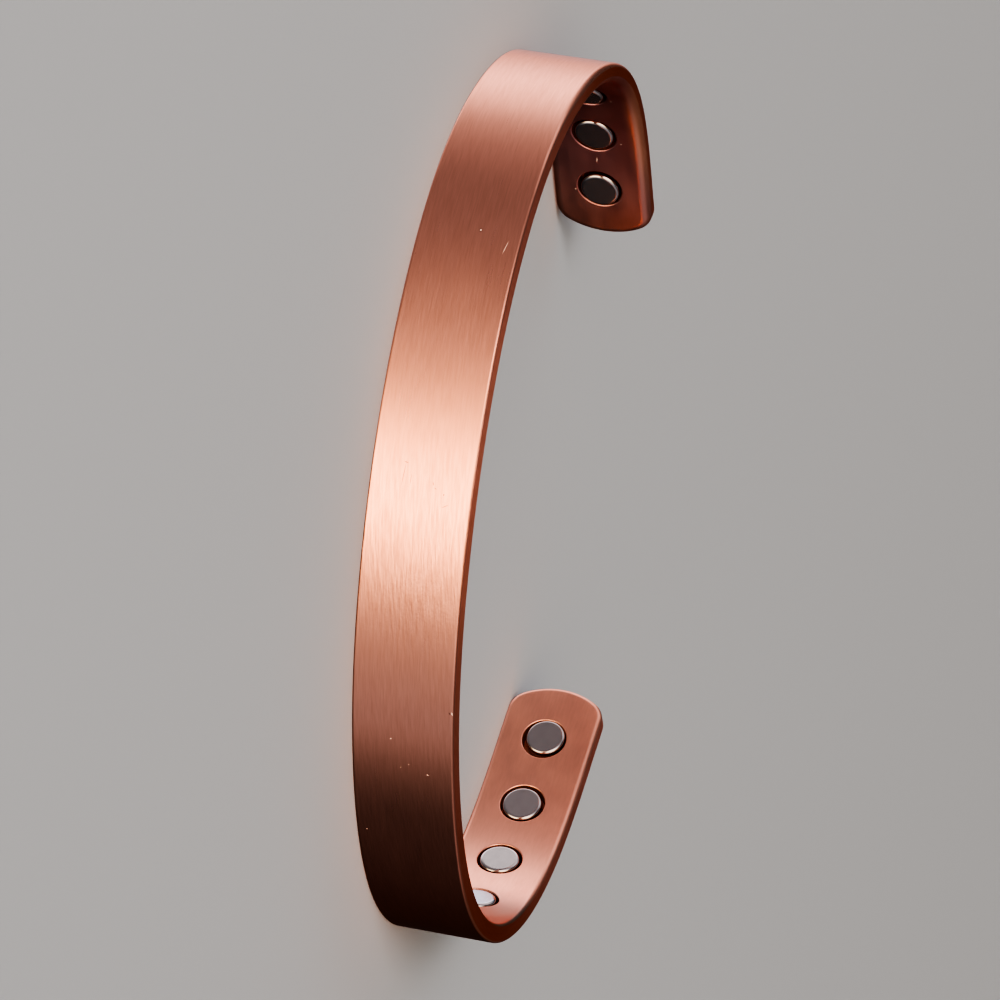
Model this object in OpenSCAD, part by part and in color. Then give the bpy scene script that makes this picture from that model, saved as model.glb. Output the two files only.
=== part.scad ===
// Open cuff of flat copper with four round magnets set into the inside of each end.
// It lies on one edge, with its wrist opening along +Z and its mouth towards +Y.
// The origin is under the middle of the plan, on the surface that it lies on.

/* [Band] */
// Width of the band, and so the height of the lying cuff
band_w = 8.6; // [7.5:0.1:14]
// Thickness of the band
band_t = 1.7; // [1.5:0.05:2.5]
// Length of the band along its middle, from tip to tip
band_len = 160.6; // [140:0.2:190]

/* [Edges] */
// Radius of the rounding between the outside and the edges
outer_edge_r = 0.2; // [0.1:0.05:0.4]
// Radius of the rounding between the inside and the edges, at the back
back_edge_r = 0.15; // [0.1:0.05:0.6]
// The same radius at the left end
left_edge_r = 0.8; // [0.15:0.05:1]
// The same radius at the right end
right_edge_r = 0.45; // [0.15:0.05:1]

/* [Tips] */
// How far the middle of a tip stands out beyond its arc's ends
tip_bulge = 1.7; // [0.5:0.1:2.5]
// Radius of the two corners of a tip
corner_r = 2.1; // [1:0.1:3]

/* [Magnets] */
// Diameter of a magnet
magnet_d = 3.5; // [2.5:0.05:4.5]
// Radius of the rounding round a magnet's face
magnet_edge_r = 0.3; // [0.1:0.05:0.4]
// Height of a magnet's face above the inside of the band
magnet_proud = 0.15; // [0:0.05:0.4]
// Gap between a centred magnet and the wall of its pocket
pocket_gap = 0.22; // [0.1:0.02:0.4]
// Width of the sloping lip round the mouth of a pocket
pocket_lip = 0.12; // [0.05:0.01:0.2]
// Copper left under a pocket
pocket_floor = 0.5; // [0.3:0.05:0.7]
// Gap under a magnet, for the glue that holds it
glue_gap = 0.05; // [0.02:0.01:0.1]
// Distance along the band from a tip to the middle of its first magnet
first_magnet = 5.55; // [4.5:0.05:8]
// Distance between the middles of two magnets at the left end
left_step = 6.6; // [6:0.1:9]
// Distance between the middles of two magnets at the right end
right_step = 7.1; // [6:0.1:9]
// How far the right end's magnets lie below the middle of the width
right_drop = 0.15; // [0:0.05:0.3]

/* [Hidden] */
$fn = 64;

// Bend of each half from the middle of the back to the tip. The first column is the share
// of the half's length. The others are the bends of the left and right halves there, as the
// degrees that a whole half would turn if it were bent so all the way.
SHARE = 0;
LEFT = 1;
RIGHT = 2;
BEND = [
  [0, 82, 82],
  [0.111, 94, 100],
  [0.222, 108, 108],
  [0.333, 135, 125],
  [0.444, 203, 188],
  [0.556, 164, 204],
  [0.667, 231, 211],
  [0.778, 270, 189],
  [0.889, 86, 60],
  [1, -160, -122]
];

// Where each magnet lies in its pocket, counted from the tip. The columns are shares of
// the pocket's gap: towards the tip and towards the upper edge, first at the left end and
// then at the right end.
LEFT_ALONG = 0;
LEFT_UP = 1;
RIGHT_ALONG = 2;
RIGHT_UP = 3;
SEATS = [
  [0.60, 0.00, 0.75, 0.40],
  [-0.20, 0.10, -0.25, -0.10],
  [0.50, -0.20, 0.00, 0.00],
  [0.00, 0.00, 0.00, 0.00]
];

half_len = band_len / 2;
half_w = band_w / 2;

// Steps in which each half is bent, and points on its straight edges and arcs
bend_steps = 200;
edge_steps = 48;
tip_steps = 4;
corner_steps = 5;
round_steps = 3;

// Pocket and magnet
pocket_r = magnet_d / 2 + pocket_gap;
pocket_depth = band_t - pocket_floor;
magnet_h = pocket_depth - glue_gap + magnet_proud;
magnets_per_end = len(SEATS);

// Arc across a tip, and where the corner's arc takes over from it
tip_r = (half_w ^ 2 + tip_bulge ^ 2) / (2 * tip_bulge);
corner_turn = asin((half_w - corner_r) / (tip_r - corner_r));
corner_d = tip_r - (tip_r - corner_r) * cos(corner_turn);

// Bend in degrees for each millimetre, at a distance from the middle of the back
function bend(side, s) =
  lookup(s / half_len, [for (row = BEND) [row[SHARE], row[side]]]) / half_len;

// Middle line of a half in equal steps. Each point is x, y, heading and distance.
step_len = half_len / bend_steps;
function step_on(side, p) =
  let (
    turn = bend(side, p[3] + step_len / 2) * step_len,
    way = p[2] + turn / 2
  )
  [p[0] + step_len * cos(way), p[1] + step_len * sin(way), p[2] + turn, p[3] + step_len];
function middle_line(side) = [
  for (p = [0, 0, 0, 0], i = 0; i <= bend_steps; p = step_on(side, p), i = i + 1) p
];
LINES = [[], middle_line(LEFT), middle_line(RIGHT)];

// Point and heading of the middle line at a distance from the middle of the back
function on_line(side, s) =
  let (
    i = max(0, min(bend_steps - 1, floor(s / step_len))),
    f = s / step_len - i,
    line = LINES[side]
  )
  line[i] * (1 - f) + line[i + 1] * f;

// The same point moved outwards from the middle line, with the left half mirrored
function place(side, s, out) =
  let (p = on_line(side, s))
  [(side == LEFT ? -1 : 1) * (p[0] + out * sin(p[2])), p[1] - out * cos(p[2])];

// Outline of half the flat band, from the middle of a tip along the upper edge to the back.
// Each point is its distance from the tip, its distance from the middle of the width, and
// the way that the outline faces there, from 0 at the tip to 90 on the straight edge.
HALF_OUTLINE = concat(
  [for (i = [0 : tip_steps])
    let (a = corner_turn * i / tip_steps)
    [tip_r * (1 - cos(a)), tip_r * sin(a), a]],
  [for (i = [1 : corner_steps])
    let (a = corner_turn + (90 - corner_turn) * i / corner_steps)
    [corner_d - corner_r * cos(a), half_w - corner_r * (1 - sin(a)), a]],
  [for (i = [1 : edge_steps])
    [corner_d + (half_len - corner_d) * i / edge_steps, half_w, 90]]
);

// Ribs from the left tip to the right tip, each a half's name and a point of its outline
RIBS = concat(
  [for (point = HALF_OUTLINE) [LEFT, point]],
  [for (i = [len(HALF_OUTLINE) - 2 : -1 : 0]) [RIGHT, HALF_OUTLINE[i]]]
);

// Radius of the rounding at the inside, at a distance from the tip. It changes between the
// end with the magnets and the back.
magnets_len = first_magnet + (magnets_per_end - 1) * max(left_step, right_step);
function inner_edge_r(side, d) = lookup(d, [
  [0.7 * magnets_len, side == LEFT ? left_edge_r : right_edge_r],
  [1.6 * magnets_len, back_edge_r]
]);

// Rounded edge across the thickness of a rib, from the outside to the inside of the band.
// Each point is how far it lies in from the outline and out from the middle line.
function rounded_edge(rib) =
  let (r = inner_edge_r(rib[0], rib[1][0]))
  concat(
    [for (i = [0 : round_steps])
      let (a = 90 * i / round_steps)
      [outer_edge_r * (1 - sin(a)), band_t / 2 - outer_edge_r * (1 - cos(a))]],
    [for (i = [round_steps : -1 : 0])
      let (a = 90 * i / round_steps)
      [r * (1 - sin(a)), r * (1 - cos(a)) - band_t / 2]]
  );
edge_points = 2 * (round_steps + 1);

// Point of the band at a rib, on its upper edge for up 1 and its lower edge for up -1
function band_point(rib, up, edge) =
  let (
    side = rib[0],
    d = rib[1][0] + edge[0] * cos(rib[1][2]),
    u = rib[1][1] - edge[0] * sin(rib[1][2])
  )
  concat(place(side, half_len - d, edge[1]), half_w + up * u);

// All points, in one loop along the upper edge and back along the lower edge
last_rib = len(RIBS) - 1;
loop_points = 2 * last_rib;
BAND_POINTS = [
  for (k = [0 : loop_points - 1])
    let (rib = RIBS[min(k, loop_points - k)])
    for (edge = rounded_edge(rib)) band_point(rib, k <= last_rib ? 1 : -1, edge)
];
function point_at(k, j) = (k % loop_points) * edge_points + j;

// Triangles of the rounded edge, then of the outside and the inside of the band
function edge_faces() = [
  for (k = [0 : loop_points - 1], j = [0 : edge_points - 2], half = [0, 1])
    half == 0
      ? [point_at(k, j), point_at(k, j + 1), point_at(k + 1, j + 1)]
      : [point_at(k, j), point_at(k + 1, j + 1), point_at(k + 1, j)]
];
function side_faces(j, turned) = [
  for (k = [0 : last_rib - 1], half = [0, 1])
    let (
      face = half == 0
        ? [point_at(k, j), point_at(k + 1, j), point_at(loop_points - k - 1, j)]
        : [point_at(k, j), point_at(loop_points - k - 1, j), point_at(loop_points - k, j)]
    )
    if (face[0] != face[2] && face[1] != face[2])
      turned ? [face[0], face[2], face[1]] : face
];

// Middle of the plan, which is put over the origin
XS = [for (p = BAND_POINTS) p[0]];
YS = [for (p = BAND_POINTS) p[1]];
mid_x = (min(XS) + max(XS)) / 2;
mid_y = (min(YS) + max(YS)) / 2;

// Puts its children on the inside of the band over a magnet's place, counted from the tip.
// There +Z points into the wrist opening, +X to the tip and -Y to the upper edge.
module at_magnet(side, number) {
  step = side == LEFT ? left_step : right_step;
  drop = side == LEFT ? 0 : right_drop;
  p = on_line(side, half_len - first_magnet - (number - 1) * step);
  translate([-mid_x, -mid_y, half_w - drop])
    mirror([side == LEFT ? 1 : 0, 0, 0])
      translate([p[0] - band_t / 2 * sin(p[2]), p[1] + band_t / 2 * cos(p[2]), 0])
        rotate([-90, 0, p[2]])
          children();
}

module pocket() {
  translate([0, 0, -pocket_depth])
    cylinder(r = pocket_r, h = 2 * pocket_depth);
  translate([0, 0, -pocket_lip])
    cylinder(r1 = pocket_r, r2 = pocket_r + 2 * pocket_lip, h = 2 * pocket_lip);
}

module band() {
  color("peru")
    difference() {
      translate([-mid_x, -mid_y, 0])
        polyhedron(
          points = BAND_POINTS,
          faces = concat(
            edge_faces(),
            side_faces(0, false),
            side_faces(edge_points - 1, true)
          )
        );
      for (side = [LEFT, RIGHT], number = [1 : magnets_per_end])
        at_magnet(side, number) pocket();
    }
}

// Round magnet with a flat face and a rounded rim, seated in its pocket
module magnet(side, number) {
  seat = SEATS[number - 1];
  along = side == LEFT ? seat[LEFT_ALONG] : seat[RIGHT_ALONG];
  up = side == LEFT ? seat[LEFT_UP] : seat[RIGHT_UP];
  r = magnet_d / 2;
  e = magnet_edge_r;
  color("silver")
    at_magnet(side, number)
      translate([along * pocket_gap, -up * pocket_gap, glue_gap - pocket_depth])
        rotate_extrude()
          union() {
            square([r, magnet_h - e]);
            square([r - e, magnet_h]);
            translate([r - e, magnet_h - e]) circle(e);
          }
}

band();
magnet(LEFT, 1);  // magnet_left_1
magnet(LEFT, 2);  // magnet_left_2
magnet(LEFT, 3);  // magnet_left_3
magnet(LEFT, 4);  // magnet_left_4
magnet(RIGHT, 1);  // magnet_right_1
magnet(RIGHT, 2);  // magnet_right_2
magnet(RIGHT, 3);  // magnet_right_3
magnet(RIGHT, 4);  // magnet_right_4
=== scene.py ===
"""Looks of an open copper cuff with four round magnets set into the inside of each end.

The cuff lies on its lower edge on a pale floor. Sizes are in millimetres and become metres
where a mesh is made. Places come from the middle line of the bent strip, as in the part
itself: a distance along the strip, a distance from the middle of its width, and a distance
out from the middle of its thickness.
"""

import logging
import math
from dataclasses import dataclass, field
from enum import Enum

import bmesh
import bpy
import numpy as np
from mathutils import Matrix, Vector


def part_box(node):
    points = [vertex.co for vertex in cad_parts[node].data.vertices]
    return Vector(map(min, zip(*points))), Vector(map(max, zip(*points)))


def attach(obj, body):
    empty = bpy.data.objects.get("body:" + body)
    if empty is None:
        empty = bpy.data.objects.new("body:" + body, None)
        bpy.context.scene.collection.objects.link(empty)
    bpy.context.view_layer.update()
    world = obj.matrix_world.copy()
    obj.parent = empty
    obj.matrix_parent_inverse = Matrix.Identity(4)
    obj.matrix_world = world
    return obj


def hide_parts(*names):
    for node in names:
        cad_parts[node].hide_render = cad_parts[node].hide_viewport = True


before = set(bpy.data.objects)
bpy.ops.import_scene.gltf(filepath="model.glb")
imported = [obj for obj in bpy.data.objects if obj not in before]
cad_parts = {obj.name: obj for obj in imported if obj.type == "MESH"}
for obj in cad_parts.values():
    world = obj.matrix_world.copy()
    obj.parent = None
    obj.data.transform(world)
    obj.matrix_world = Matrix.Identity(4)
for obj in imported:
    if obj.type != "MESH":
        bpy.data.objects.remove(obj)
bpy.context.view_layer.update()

Tree = bpy.types.NodeTree
Node = bpy.types.Node
Socket = bpy.types.NodeSocket
Material = bpy.types.Material
Piece = bpy.types.Object
Place = tuple[float, float, float]

METRES = 0.001
# Points of a mesh that are closer than this many mm are one point
MERGE = 0.002
BODY = "root"
FLAT_UV = "flat_mm"
log = logging.getLogger("cuff")


class End(Enum):
    """The two ends of the cuff, with the sign of their place along the strip."""

    LEFT = -1
    RIGHT = 1


class Zone(Enum):
    """Surfaces of the band that are finished differently, by material slot."""

    BRUSHED = 0
    SATIN = 1
    RIM = 2
    DRILLED = 3


def linear(colour: str) -> tuple[float, float, float, float]:
    """Turns an sRGB hex colour into linear light.

    Args:
        colour: Six hex digits, two for each of red, green and blue.

    Returns:
        Linear red, green and blue, and an alpha of 1.
    """
    parts = [int(colour[i : i + 2], 16) / 255 for i in (0, 2, 4)]
    light = [c / 12.92 if c <= 0.04045 else ((c + 0.055) / 1.055) ** 2.4 for c in parts]
    return (*light, 1.0)


def add(tree: Tree, kind: str, inputs: dict | None = None, **settings) -> Node:
    """Adds a node with its settings, and fills its inputs with values or links.

    Args:
        tree: The node tree.
        kind: Type name of the node.
        inputs: Value or output socket for each input, by its name or number.
        **settings: Values of the node's own properties.

    Returns:
        The new node.
    """
    node = tree.nodes.new(kind)
    for name, value in settings.items():
        setattr(node, name, value)
    for key, value in (inputs or {}).items():
        if isinstance(value, Socket):
            tree.links.new(value, node.inputs[key])
        else:
            node.inputs[key].default_value = value
    return node


@dataclass
class Surface:
    """A mesh in the making: points in mm, flat coordinates in mm, quads and their slots."""

    points: np.ndarray
    flat: np.ndarray
    quads: np.ndarray
    slots: np.ndarray

    @classmethod
    def grid(
        cls, points: np.ndarray, flat: np.ndarray, zone: int, closed: bool = False
    ) -> "Surface":
        """Makes quads between the rows and columns of a grid of points.

        Args:
            points: Rows by columns by 3.
            flat: Rows by columns by 2.
            zone: Material slot of all the quads.
            closed: Whether the last column joins the first.

        Returns:
            The surface.
        """
        rows, cols = points.shape[:2]
        index = np.arange(rows * cols).reshape(rows, cols)
        if closed:
            index = np.column_stack([index, index[:, :1]])
        quads = np.stack([index[:-1, :-1], index[1:, :-1], index[1:, 1:], index[:-1, 1:]], -1)
        quads = quads.reshape(-1, 4)
        return cls(points.reshape(-1, 3), flat.reshape(-1, 2), quads, np.full(len(quads), zone))

    @classmethod
    def joined(cls, parts: list["Surface"]) -> "Surface":
        """Puts several surfaces into one, with their points still apart.

        Args:
            parts: The surfaces.

        Returns:
            One surface with all the points and quads.
        """
        starts = np.cumsum([0] + [len(p.points) for p in parts[:-1]])
        return cls(
            np.concatenate([p.points for p in parts]),
            np.concatenate([p.flat for p in parts]),
            np.concatenate([p.quads + start for p, start in zip(parts, starts)]),
            np.concatenate([p.slots for p in parts]),
        )

    def make(self, name: str, materials: list[Material]) -> Piece:
        """Makes the Blender object, with shared points merged and faces turned outwards.

        Args:
            name: Name of the object.
            materials: One material for each slot.

        Returns:
            The object, at the origin.
        """
        mesh = bpy.data.meshes.new(name)
        mesh.from_pydata((self.points * METRES).tolist(), [], self.quads.tolist())
        uv = mesh.uv_layers.new(name=FLAT_UV)
        uv.data.foreach_set("uv", self.flat[self.quads.ravel()].astype(np.float32).ravel())
        mesh.polygons.foreach_set("material_index", self.slots.astype(np.int32))
        for material in materials:
            mesh.materials.append(material)
        work = bmesh.new()
        work.from_mesh(mesh)
        bmesh.ops.remove_doubles(work, verts=work.verts, dist=MERGE * METRES)
        bmesh.ops.recalc_face_normals(work, faces=work.faces)
        work.to_mesh(mesh)
        work.free()
        mesh.polygons.foreach_set("use_smooth", np.ones(len(mesh.polygons), bool))
        mesh.update()
        piece = bpy.data.objects.new(name, mesh)
        bpy.context.scene.collection.objects.link(piece)
        return piece


@dataclass
class MiddleLine:
    """Middle line of one half of the bent strip, from the middle of the back to a tip.

    The bend is read from a table by its share of the half's length. It is summed twice in
    small steps: once into the heading, and then, along the heading, into the place.
    """

    end: End
    half_len: float
    shares: tuple[float, ...]
    bends: tuple[float, ...]
    steps: int = 800

    def __post_init__(self) -> None:
        """Works out distance, x, y and heading at the end of every step."""
        step = self.half_len / self.steps
        middle = (np.arange(self.steps) + 0.5) * step
        turn = np.interp(middle / self.half_len, self.shares, self.bends) * step / self.half_len
        heading = np.radians(np.concatenate([[0], np.cumsum(turn)]))
        way = (heading[:-1] + heading[1:]) / 2
        self.distance = np.arange(self.steps + 1) * step
        self.x = np.concatenate([[0], np.cumsum(step * np.cos(way))])
        self.y = np.concatenate([[0], np.cumsum(step * np.sin(way))])
        self.heading = heading

    def place(self, s: np.ndarray, out: np.ndarray) -> np.ndarray:
        """Finds plan points beside the middle line.

        Args:
            s: Distances from the middle of the back.
            out: Distances outwards from the middle line.

        Returns:
            Points in plan, with x mirrored for the left half.
        """
        x = np.interp(s, self.distance, self.x)
        y = np.interp(s, self.distance, self.y)
        turn = np.interp(s, self.distance, self.heading)
        return np.stack([self.end.value * (x + out * np.sin(turn)), y - out * np.cos(turn)], -1)


@dataclass
class Seat:
    """A magnet's place on the inside of the band, and the axes there.

    Plan coordinates are along, towards the tip, and up, towards the upper edge. Height is
    measured into the wrist opening from the inside face at the middle of the pocket.
    """

    line: MiddleLine
    from_tip: float
    thickness: float
    middle_z: float
    origin: np.ndarray
    reach: float = 4.0
    samples: int = 161

    def __post_init__(self) -> None:
        """Works out the seat's axes, and the curve of the inside face seen from there."""
        middle = self.line.half_len - self.from_tip
        around = middle + np.linspace(-self.reach, self.reach, self.samples)
        s = np.clip(around, 0, self.line.half_len)
        curve = self.line.place(s, -self.thickness / 2) + self.origin
        self.base = self.line.place(np.array(middle), np.array(-self.thickness / 2)) + self.origin
        turn = np.interp(middle, self.line.distance, self.line.heading)
        side = self.line.end.value
        self.along = np.array([side * np.cos(turn), np.sin(turn)])
        self.inward = np.array([-side * np.sin(turn), np.cos(turn)])
        self.curve_s = s
        self.curve_along = (curve - self.base) @ self.along
        self.curve_height = (curve - self.base) @ self.inward

    def rise(self, along: np.ndarray) -> np.ndarray:
        """Gives the height of the bent inside face over the seat's flat plane."""
        return np.interp(along, self.curve_along, self.curve_height)

    def distance(self, along: np.ndarray) -> np.ndarray:
        """Gives the distance from the middle of the back of points on the inside face."""
        return np.interp(along, self.curve_along, self.curve_s)

    def reading(self, s: np.ndarray) -> np.ndarray:
        """Gives the along coordinate of points on the inside face from their distance."""
        return np.interp(s, self.curve_s, self.curve_along)

    def point(self, along: np.ndarray, up: np.ndarray, height: np.ndarray) -> np.ndarray:
        """Turns seat coordinates into points of the row frame.

        Args:
            along: Distances towards the tip.
            up: Distances towards the upper edge.
            height: Distances into the wrist opening.

        Returns:
            Points in mm.
        """
        plan = self.base + along[..., None] * self.along + height[..., None] * self.inward
        return np.concatenate([plan, (self.middle_z + up)[..., None] + 0 * plan[..., :1]], -1)


@dataclass
class CopperBand:
    """The bent strip with its rounded edges, arched tips and eight drilled pockets.

    All surfaces follow the flat strip. Its outline runs from the middle of a tip over the
    tip's wide arc and a corner's small arc to the straight edge. A rib crosses the strip at
    each point of the outline. The rounded edge is a quarter circle carried along the
    outline, and the flat faces fill each rib between its two edges. The rounding at the
    inside is sharp at the back and softer at the two ends. At the outside it is sharp, but
    for the upper edge at the left bend, where bending rolled it over.
    """

    width: float = 8.6
    thickness: float = 1.7
    length: float = 160.6
    outer_edge_r: float = 0.2
    rolled_edge_r: float = 0.5
    roll_middle: float = -46.0
    roll_reach: float = 9.0
    back_edge_r: float = 0.15
    end_edge_r: dict = field(default_factory=lambda: {End.LEFT: 0.8, End.RIGHT: 0.45})
    # Where the inside's rounding starts to sharpen and for how long, as shares of the way
    # from the tip to the last magnet
    sharpen_from: float = 0.7
    sharpen_over: float = 0.9
    tip_bulge: float = 1.7
    corner_r: float = 2.1
    first_magnet: float = 5.55
    steps: dict = field(default_factory=lambda: {End.LEFT: 6.6, End.RIGHT: 7.1})
    drops: dict = field(default_factory=lambda: {End.LEFT: 0.0, End.RIGHT: 0.15})
    magnets_per_end: int = 4
    pocket_r: float = 1.97
    pocket_depth: float = 1.2
    pocket_lip: float = 0.12
    patch_reach: float = 2.5
    shares: tuple = (0, 0.111, 0.222, 0.333, 0.444, 0.556, 0.667, 0.778, 0.889, 1)
    bends: dict = field(
        default_factory=lambda: {
            End.LEFT: (82, 94, 108, 135, 203, 164, 231, 270, 86, -160),
            End.RIGHT: (82, 100, 108, 125, 188, 204, 211, 189, 60, -122),
        }
    )

    # Fineness of the mesh
    tip_ribs: int = 14
    corner_ribs: int = 12
    patch_ribs: int = 16
    rib_pitch: float = 0.5
    face_columns: int = 22
    patch_columns: int = 20
    round_columns: int = 8
    patch_rings: int = 6
    floor_rings: tuple[float, ...] = (0.95, 0.5, 0.0)
    support: float = 0.04

    def __post_init__(self) -> None:
        """Works out the derived sizes, the middle lines and the middle of the plan."""
        self.half_w = self.width / 2
        self.seam = (max(self.end_edge_r.values()) - self.outer_edge_r) / 2
        self.half_len = self.length / 2
        self.tip_r = (self.half_w**2 + self.tip_bulge**2) / (2 * self.tip_bulge)
        self.corner_turn = math.asin((self.half_w - self.corner_r) / (self.tip_r - self.corner_r))
        self.corner_d = self.tip_r - (self.tip_r - self.corner_r) * math.cos(self.corner_turn)
        self.lines = {
            end: MiddleLine(end, self.half_len, self.shares, self.bends[end]) for end in End
        }
        low, high = (np.array(corner[:2]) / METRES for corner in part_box("band"))
        s = self.lines[End.LEFT].distance
        plan = np.concatenate(
            [self.lines[end].place(s, side * self.thickness / 2) for end in End for side in (-1, 1)]
        )
        self.origin = np.array([(low[0] + high[0]) / 2, low[1]])
        self.origin -= [(plan[:, 0].min() + plan[:, 0].max()) / 2, plan[:, 1].min()]
        self.seats = {
            (end, number): Seat(
                self.lines[end],
                self.first_magnet + (number - 1) * self.steps[end],
                self.thickness,
                self.half_w - self.drops[end],
                self.origin,
            )
            for end in End
            for number in range(1, self.magnets_per_end + 1)
        }

    def outline(self, end: End) -> np.ndarray:
        """Follows half the flat outline from the middle of a tip to the middle of the back.

        The tip is an arc, the corner a smaller arc that touches it, and the edge a straight
        line. The ribs of the line are closer together beside the pockets.

        Args:
            end: The half of the strip.

        Returns:
            Rows of distance from the tip, distance from the middle of the width, and the way
            the outline faces in radians.
        """
        tip = np.linspace(0, self.corner_turn, self.tip_ribs + 1)
        corner = np.linspace(self.corner_turn, math.pi / 2, self.corner_ribs + 1)[1:]
        stops = [self.corner_d]
        for number in range(self.magnets_per_end):
            middle = self.first_magnet + number * self.steps[end]
            stops += [middle - self.patch_reach, middle + self.patch_reach]
        stops.append(self.half_len)
        runs = []
        for number, (start, stop) in enumerate(zip(stops[:-1], stops[1:])):
            count = self.patch_ribs if number % 2 else math.ceil((stop - start) / self.rib_pitch)
            runs.append(np.linspace(start, stop, count + 1)[1:])
        edge = np.concatenate(runs)
        return np.concatenate(
            [
                np.stack([self.tip_r * (1 - np.cos(tip)), self.tip_r * np.sin(tip), tip], -1),
                np.stack(
                    [
                        self.corner_d - self.corner_r * np.cos(corner),
                        self.half_w - self.corner_r * (1 - np.sin(corner)),
                        corner,
                    ],
                    -1,
                ),
                np.stack([edge, 0 * edge + self.half_w, 0 * edge + math.pi / 2], -1),
            ]
        )

    def ribs(self) -> tuple[np.ndarray, np.ndarray]:
        """Joins the two halves' outlines into ribs from the left tip to the right tip.

        Returns:
            The outline's rows at every rib, and the sign of the half that each is on.
        """
        left, right = self.outline(End.LEFT), self.outline(End.RIGHT)[-2::-1]
        side = np.concatenate([np.full(len(left), -1.0), np.full(len(right), 1.0)])
        return np.concatenate([left, right]), side

    def inner_edge_r(self, side: np.ndarray, d: np.ndarray) -> np.ndarray:
        """Gives the radius of the rounding at the inside.

        Args:
            side: Sign of the half that each rib is on.
            d: Distance of each rib from its tip.

        Returns:
            The radius at each rib, which changes between the magnets and the back.
        """
        magnets = self.first_magnet + (self.magnets_per_end - 1) * max(self.steps.values())
        at_end = np.where(side < 0, self.end_edge_r[End.LEFT], self.end_edge_r[End.RIGHT])
        share = (d - self.sharpen_from * magnets) / (self.sharpen_over * magnets)
        share = np.clip(share, 0, 1)
        return at_end + (self.back_edge_r - at_end) * share

    def outer_upper_r(self, side: np.ndarray, d: np.ndarray) -> np.ndarray:
        """Gives the radius of the rounding at the outside's upper edge.

        Args:
            side: Sign of the half that each rib is on.
            d: Distance of each rib from its tip.

        Returns:
            The radius at each rib, which swells in a bell curve at the left bend.
        """
        off = (side * (self.half_len - d) - self.roll_middle) / self.roll_reach
        return self.outer_edge_r + (self.rolled_edge_r - self.outer_edge_r) * np.exp(-(off**2))

    def edge(self, radius: np.ndarray, face: float) -> np.ndarray:
        """Profiles of a rounded edge: at each rib a quarter circle from the rim to a flat face.

        Args:
            radius: Radius of the rounding at each rib.
            face: Distance of the flat face out from the middle line, negative for the inside.

        Returns:
            Ribs by points by 3: distance in from the outline, distance out from the middle
            line, and distance along the profile outwards from the flat face.
        """
        turn = np.linspace(0, math.pi / 2, self.round_columns + 1)
        r = radius[:, None]
        none, support = 0 * r, 0 * r + self.support
        inset = np.concatenate([none, none, r * (1 - np.cos(turn)), r + support], 1)
        rise = np.concatenate([none, -support, r * np.sin(turn), r], 1)
        out = face + math.copysign(1, face) * (rise - r)
        out[:, 0] = self.seam
        steps = np.hypot(np.diff(inset, axis=1), np.diff(out, axis=1))
        reach = np.concatenate([none, np.cumsum(steps, 1)], 1)
        return np.stack([inset, out, reach[:, -1:] - reach], -1)

    def sheet(
        self, lower: np.ndarray, upper: np.ndarray, face: float
    ) -> tuple[np.ndarray, np.ndarray, np.ndarray]:
        """Lays out one side of the band, from the seam on one rim to the seam on the other.

        Every rib has the lower edge's profile, the flat face and the upper edge's profile.
        Across the face a point is a share of the rib's half width.

        Args:
            lower: Radius of the rounding at the lower edge at each rib.
            upper: The same at the upper edge.
            face: Distance of the flat face out from the middle line.

        Returns:
            Distance along the strip and up at every rib and column, the distance out, and
            flat coordinates that unroll the edge beside the face.
        """
        ribs, side = self.ribs()
        low, high = self.edge(lower, face), self.edge(upper, face)[:, ::-1]
        share = np.linspace(-1, 1, self.face_columns + 1)[1:-1]
        # Across the face the inset goes evenly from the lower edge's to the upper edge's
        inner = low[:, -1:, 0] + (high[:, :1, 0] - low[:, -1:, 0]) * (share + 1) / 2
        inset, out, reach = (
            np.concatenate([low[..., i], middle + 0 * inner, high[..., i]], 1)
            for i, middle in enumerate((inner, face, 0))
        )
        up = np.concatenate([np.full(low.shape[1], -1.0), share, np.full(high.shape[1], 1.0)])
        d, u, turn = (ribs[:, i, None] for i in range(3))
        d_on = d + inset * np.cos(turn)
        u_on = up * (u - inset * np.sin(turn))
        s_on = side[:, None] * (self.half_len - d_on)
        # Unrolled, an edge goes on from where the flat face stops
        stops = (low[:, -1:, 0] + 0 * low[..., 0], inner, high[:, :1, 0] + 0 * high[..., 0])
        flat_in = np.concatenate(stops, 1) - reach
        flat_s = side[:, None] * (self.half_len - d - flat_in * np.cos(turn))
        flat = np.stack([flat_s, up * (u - flat_in * np.sin(turn))], -1)
        return np.stack([s_on, u_on], -1), out, flat

    def bent(self, strip: np.ndarray, out: np.ndarray) -> np.ndarray:
        """Bends points of the flat strip.

        Args:
            strip: Distances along the strip, negative on the left, and up from its middle.
            out: Distances out from the middle line.

        Returns:
            Points of the row frame in mm.
        """
        s = strip[..., 0]
        left = self.lines[End.LEFT].place(-s, out)
        right = self.lines[End.RIGHT].place(s, out)
        plan = np.where(s[..., None] < 0, left, right) + self.origin
        return np.concatenate([plan, self.half_w + strip[..., 1:]], -1)

    def on_rim(self, strip: np.ndarray) -> np.ndarray:
        """Finds the quads of a sheet that lie on the flat rim, two columns beside each seam.

        Args:
            strip: The sheet's rows and columns of points.

        Returns:
            Whether each quad lies there.
        """
        columns = strip.shape[1] - 1
        column = np.tile(np.arange(columns), strip.shape[0] - 1)
        return (column < 2) | (column >= columns - 2)

    def outside(self) -> Surface:
        """Makes the brushed outside with its half of the rim.

        Returns:
            The sheet.
        """
        ribs, side = self.ribs()
        lower = np.full(len(ribs), self.outer_edge_r)
        upper = self.outer_upper_r(side, ribs[:, 0])
        strip, out, flat = self.sheet(lower, upper, self.thickness / 2)
        surface = Surface.grid(self.bent(strip, out), flat, Zone.BRUSHED.value)
        surface.slots[self.on_rim(strip)] = Zone.RIM.value
        return surface

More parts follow.
